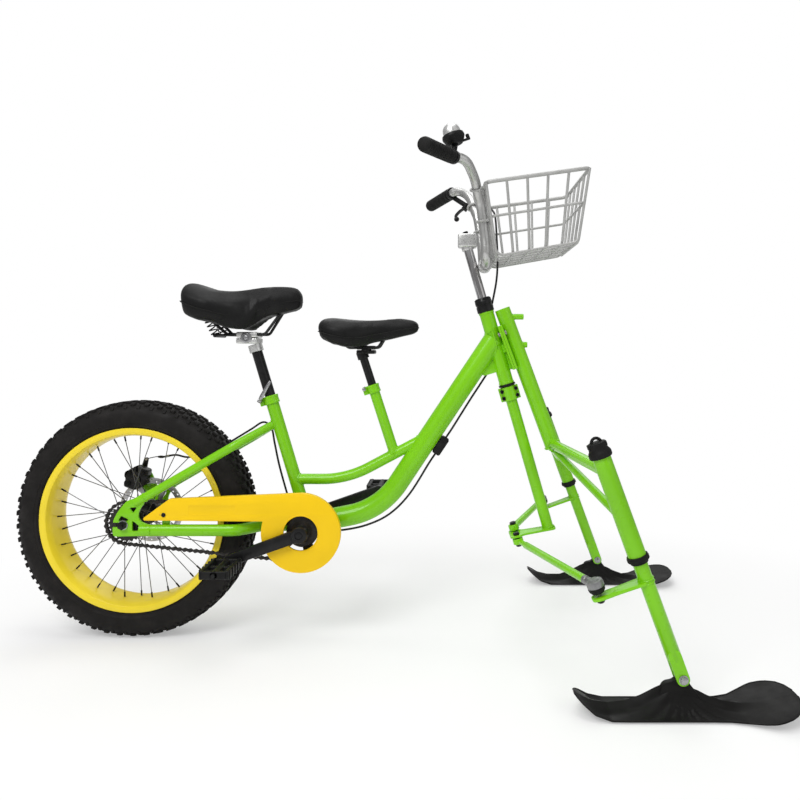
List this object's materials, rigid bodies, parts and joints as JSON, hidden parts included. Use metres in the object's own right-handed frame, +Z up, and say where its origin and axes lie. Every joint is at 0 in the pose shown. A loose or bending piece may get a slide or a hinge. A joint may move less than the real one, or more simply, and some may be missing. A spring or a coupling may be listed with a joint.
{
  "type": "snow bike",
  "caption": "Pedal-driven snow bike with a fat rear wheel, a pair of steered front skis, an adult and a child saddle, high handlebar, wire basket and bell.",
  "frame": {"origin": "on the snow, under the middle of the bike's length and width", "axes": "+X forward, +Y to the rider's left, +Z up"},
  "size_m": [1.6802, 0.894, 1.1765],
  "materials": {
    "green_paint": "gloss",
    "yellow_plastic": "semi-gloss",
    "yellow_paint": "satin",
    "tyre_rubber": "matte",
    "black_steel": "satin",
    "steel": "brushed",
    "chrome": "polished",
    "satin_silver": "satin",
    "black_plastic": "matte",
    "black_vinyl": "satin",
    "white_wire": "satin"
  },
  "bodies": {
    "frame": {"main_frame": "green_paint", "ski_frame": "green_paint", "headset_top": "black_steel", "headset_bottom": "black_steel", "rear_seat_collar": "green_paint", "child_seat_collar": "green_paint", "chain_guard": "yellow_plastic", "guard_screw": "black_steel", "chain": "black_steel", "caliper_body": "black_steel", "upper_brake_cable": "black_plastic", "rear_brake_cable": "black_plastic", "cable_box": "black_plastic", "rear_axle": "steel", "bottom_bracket": "black_steel", "subframe_bolt_right": "black_steel", "subframe_bolt_left": "black_steel", "right_leg_cap": "black_plastic", "left_leg_cap": "black_plastic", "right_leg_seal": "black_plastic", "left_leg_seal": "black_plastic"},
    "rear_wheel": {"tyre": "tyre_rubber", "rim": "yellow_paint", "hub_and_spokes": "black_steel", "brake_rotor": "steel"},
    "freewheel": {"freewheel_sprocket": "steel"},
    "crankset": {"crank_spindle": "steel", "chainring": "black_steel", "right_crank": "black_steel", "left_crank": "black_steel"},
    "right_pedal": {"right_pedal": "black_plastic"},
    "left_pedal": {"left_pedal": "black_plastic"},
    "steering": {"steering_column": "green_paint", "column_clamp": "green_paint", "stem": "chrome", "handlebar": "satin_silver", "right_grip": "black_plastic", "left_grip": "black_plastic", "basket": "white_wire", "bell": "chrome", "brake_lever_perch": "black_plastic", "front_brake_cable": "black_plastic"},
    "bell_lever": {"bell_lever": "black_plastic"},
    "brake_lever": {"brake_lever": "black_plastic"},
    "caliper_arm": {"caliper_arm": "black_steel"},
    "rear_seat": {"rear_seatpost": "black_steel", "rear_saddle": "black_vinyl", "rear_saddle_clamp": "satin_silver"},
    "child_seat": {"child_seatpost": "black_steel", "child_saddle": "black_vinyl", "child_saddle_clamp": "black_steel"},
    "quick_release": {"quick_release_lever": "satin_silver"},
    "right_leg": {"right_ski_leg": "green_paint", "right_ski_bolt": "black_steel"},
    "left_leg": {"left_ski_leg": "green_paint", "left_ski_bolt": "black_steel"},
    "right_tie_rod": {"right_tie_rod": "green_paint"},
    "left_tie_rod": {"left_tie_rod": "green_paint"},
    "right_ski": {"right_ski": "black_plastic"},
    "left_ski": {"left_ski": "black_plastic"}
  },
  "joints": [
    {"name": "steering_turn", "type": "hinge", "parent": "frame", "child": "steering", "pos_m": [0.3279, 0, 0.6], "axis": [-0.2756, 0, 0.9613], "range_deg": [-30, 30], "deforming": ["front_brake_cable"]},
    {"name": "right_leg_swivel", "type": "hinge", "parent": "frame", "child": "right_leg", "pos_m": [0.5424, -0.372, 0.2925], "axis": [-0.342, 0, 0.9397], "range_deg": [-28, 28]},
    {"name": "left_leg_swivel", "type": "hinge", "parent": "frame", "child": "left_leg", "pos_m": [0.5424, 0.372, 0.2925], "axis": [-0.342, 0, 0.9397], "range_deg": [-28, 28]},
    {"name": "right_tie_rod_pivot", "type": "hinge", "parent": "steering", "child": "right_tie_rod", "pos_m": [0.35026, -0.02, 0.2369], "axis": [-0.2756, 0, 0.9613], "range_deg": [-33, 33]},
    {"name": "left_tie_rod_pivot", "type": "hinge", "parent": "steering", "child": "left_tie_rod", "pos_m": [0.35026, 0.02, 0.2369], "axis": [-0.2756, 0, 0.9613], "range_deg": [-33, 33]},
    {"name": "right_ski_pitch", "type": "hinge", "parent": "right_leg", "child": "right_ski", "pos_m": [0.62506, -0.372, 0.065], "axis": [0, 1, 0], "range_deg": [-20, 20]},
    {"name": "left_ski_pitch", "type": "hinge", "parent": "left_leg", "child": "left_ski", "pos_m": [0.62506, 0.372, 0.065], "axis": [0, 1, 0], "range_deg": [-20, 20]},
    {"name": "rear_wheel_spin", "type": "hinge", "parent": "frame", "child": "rear_wheel", "pos_m": [-0.56014, 0, 0.28], "axis": [0, 1, 0], "continuous": true},
    {"name": "freewheel_spin", "type": "hinge", "parent": "frame", "child": "freewheel", "pos_m": [-0.56014, -0.068, 0.28], "axis": [0, 1, 0], "continuous": true},
    {"name": "crank_spin", "type": "hinge", "parent": "frame", "child": "crankset", "pos_m": [-0.15164, 0, 0.2624], "axis": [0, 1, 0], "continuous": true},
    {"name": "right_pedal_spin", "type": "hinge", "parent": "crankset", "child": "right_pedal", "pos_m": [-0.31139, -0.165, 0.20426], "axis": [0, 1, 0], "continuous": true},
    {"name": "left_pedal_spin", "type": "hinge", "parent": "crankset", "child": "left_pedal", "pos_m": [0.00811, 0.165, 0.32054], "axis": [0, 1, 0], "continuous": true},
    {"name": "rear_seat_height", "type": "slide", "parent": "frame", "child": "rear_seat", "axis": [-0.2882, 0, 0.9576], "range_m": [-0.08, 0.06]},
    {"name": "child_seat_height", "type": "slide", "parent": "frame", "child": "child_seat", "axis": [-0.3074, 0, 0.9516], "range_m": [-0.04, 0.03]},
    {"name": "quick_release_turn", "type": "hinge", "parent": "frame", "child": "quick_release", "pos_m": [-0.26594, -0.0131, 0.5597], "axis": [0.8768, 0, -0.4809], "range_deg": [0, 160]},
    {"name": "bell_lever_press", "type": "hinge", "parent": "steering", "child": "bell_lever", "pos_m": [0.2278, -0.17, 1.1478], "axis": [-0.309, 0, 0.9511], "range_deg": [0, 25], "stiffness_Nm_per_rad": 0.05, "springref_deg": -5.73},
    {"name": "brake_lever_pull", "type": "hinge", "parent": "steering", "child": "brake_lever", "pos_m": [0.23436, 0.17, 1.061], "axis": [0.7071, 0, 0.7071], "range_deg": [0, 20], "stiffness_Nm_per_rad": 0.5, "springref_deg": -11.46},
    {"name": "caliper_arm_pull", "type": "hinge", "parent": "frame", "child": "caliper_arm", "pos_m": [-0.59414, 0.085, 0.362], "axis": [0, 1, 0], "range_deg": [0, 12]}
  ],
  "couplings": [
    {"joint": "right_leg_swivel", "follows": "steering_turn", "ratio": 0.91},
    {"joint": "left_leg_swivel", "follows": "steering_turn", "ratio": 0.91},
    {"joint": "right_tie_rod_pivot", "follows": "steering_turn", "ratio": -1.06},
    {"joint": "left_tie_rod_pivot", "follows": "steering_turn", "ratio": -1.06},
    {"joint": "freewheel_spin", "follows": "crank_spin", "ratio": 1.5},
    {"joint": "caliper_arm_pull", "follows": "brake_lever_pull", "ratio": 0.5}
  ]
}
